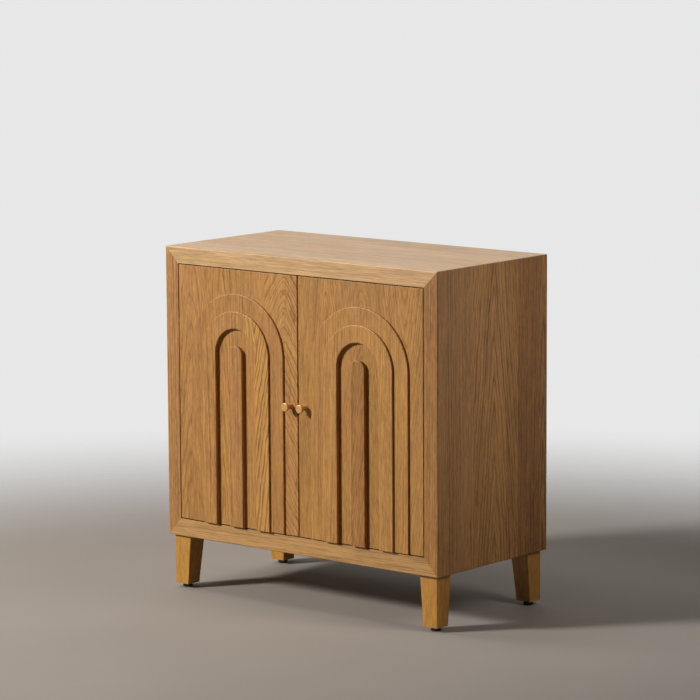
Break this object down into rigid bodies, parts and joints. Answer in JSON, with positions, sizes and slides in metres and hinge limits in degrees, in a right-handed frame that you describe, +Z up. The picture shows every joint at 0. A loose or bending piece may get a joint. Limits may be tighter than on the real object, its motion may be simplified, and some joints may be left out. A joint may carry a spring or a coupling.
{
  "type": "entryway cabinet",
  "caption": "Low wooden entryway cabinet: mitred case on tapered legs, paired inset doors with stepped arch relief and small round knobs, adjustable shelf inside.",
  "frame": {"origin": "on the floor under the middle of the bounding box, knobs included", "axes": "+Z up from the floor, +X to the right seen from the front, +Y to the back; the doors and knobs face -Y"},
  "size_m": [0.8, 0.423, 0.804],
  "materials": {
    "case_wood": "satin lacquered wood, straight grain along each board",
    "back_wood": "thin plain board, dull",
    "door_wood": "satin lacquered wood, upright grain",
    "leg_wood": "smooth honey lacquer",
    "knob_metal": "soft polished warm brass",
    "washer_nylon": "dark moulded nylon",
    "hinge_bronze": "dark bronze plated steel",
    "fitting_steel": "zinc plated",
    "glide_plastic": "moulded black",
    "catch_plastic": "moulded brown"
  },
  "bodies": {
    "case": {"top_panel": "case_wood", "bottom_panel": "case_wood", "left_side": "case_wood", "right_side": "case_wood", "mitre_splines": "case_wood", "shelf": "case_wood", "back_panel": "back_wood", "leg_front_left": "leg_wood", "leg_front_right": "leg_wood", "leg_back_left": "leg_wood", "leg_back_right": "leg_wood", "thrust_washers": "washer_nylon", "case_hinge_plates": "hinge_bronze", "case_hinge_screws": "hinge_bronze", "hinge_pivots": "hinge_bronze", "back_screws": "fitting_steel", "shelf_pins": "fitting_steel", "leg_studs": "fitting_steel", "leg_inserts": "fitting_steel", "glide_screws": "fitting_steel", "catch_screws": "fitting_steel", "catch_magnets": "fitting_steel", "glides": "glide_plastic", "catch_housing": "catch_plastic"},
    "left_door": {"left_door_panel": "door_wood", "left_outer_arch": "door_wood", "left_inner_arch": "door_wood", "left_centre_bar": "door_wood", "left_knob": "knob_metal", "left_knob_screw": "fitting_steel", "left_hinge_plates": "hinge_bronze", "left_hinge_screws": "hinge_bronze", "left_strike": "fitting_steel", "left_strike_screw": "fitting_steel"},
    "right_door": {"right_door_panel": "door_wood", "right_outer_arch": "door_wood", "right_inner_arch": "door_wood", "right_centre_bar": "door_wood", "right_knob": "knob_metal", "right_knob_screw": "fitting_steel", "right_hinge_plates": "hinge_bronze", "right_hinge_screws": "hinge_bronze", "right_strike": "fitting_steel", "right_strike_screw": "fitting_steel"}
  },
  "joints": [
    {"name": "left_door_swing", "type": "hinge", "parent": "case", "child": "left_door", "pos_m": [-0.3435, -0.1805, 0.4665], "axis": [0, 0, -1], "range_deg": [0, 110]},
    {"name": "right_door_swing", "type": "hinge", "parent": "case", "child": "right_door", "pos_m": [0.3435, -0.1805, 0.4665], "axis": [0, 0, 1], "range_deg": [0, 110]}
  ]
}
